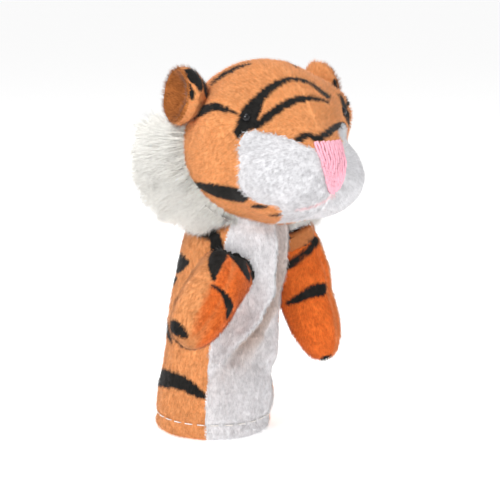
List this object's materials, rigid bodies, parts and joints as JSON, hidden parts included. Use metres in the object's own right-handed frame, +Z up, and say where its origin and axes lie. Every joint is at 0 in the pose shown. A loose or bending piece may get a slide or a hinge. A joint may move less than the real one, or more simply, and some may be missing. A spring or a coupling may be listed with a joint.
{
  "type": "finger puppet",
  "caption": "Plush tiger finger puppet: hollow striped sleeve for a finger, two stuffed arms, round padded head with cupped ears, white muzzle, stitched nose and long-pile cheek ruff.",
  "frame": {"origin": "middle of the finger opening, on the plane of the hem that the puppet stands on", "axes": "+Z up along the sleeve, -Y out of the puppet's chest and face, +X towards the puppet's own left arm"},
  "size_m": [0.0809, 0.0708, 0.1163],
  "materials": {
    "orange_plush": "short clipped orange pile with printed black stripes",
    "white_plush": "short clipped white pile",
    "cream_pile": "long straight off-white pile",
    "ear_lining_plush": "short brown-orange pile",
    "fibre_fill": "soft fibre wadding",
    "pocket_cloth": "thin plain-weave cloth",
    "pink_thread": "satin-stitched embroidery thread",
    "black_bead": "glossy black bead"
  },
  "bodies": {
    "root": {"belly_panel": "white_plush", "back_panel": "orange_plush", "crown_panel": "orange_plush", "head_back_panel": "orange_plush", "cheek_right": "orange_plush", "cheek_left": "orange_plush", "muzzle_right": "white_plush", "muzzle_left": "white_plush", "nose_stitching": "pink_thread", "eye_right": "black_bead", "eye_left": "black_bead", "ear_right_back": "orange_plush", "ear_right_lining": "ear_lining_plush", "ear_left_back": "orange_plush", "ear_left_lining": "ear_lining_plush", "ruff_right": "cream_pile", "ruff_left": "cream_pile", "arm_right_outer": "orange_plush", "arm_right_inner": "orange_plush", "arm_right_stuffing": "fibre_fill", "arm_left_outer": "orange_plush", "arm_left_inner": "orange_plush", "arm_left_stuffing": "fibre_fill", "head_stuffing": "fibre_fill", "finger_pocket": "pocket_cloth"}
  },
  "joints": []
}
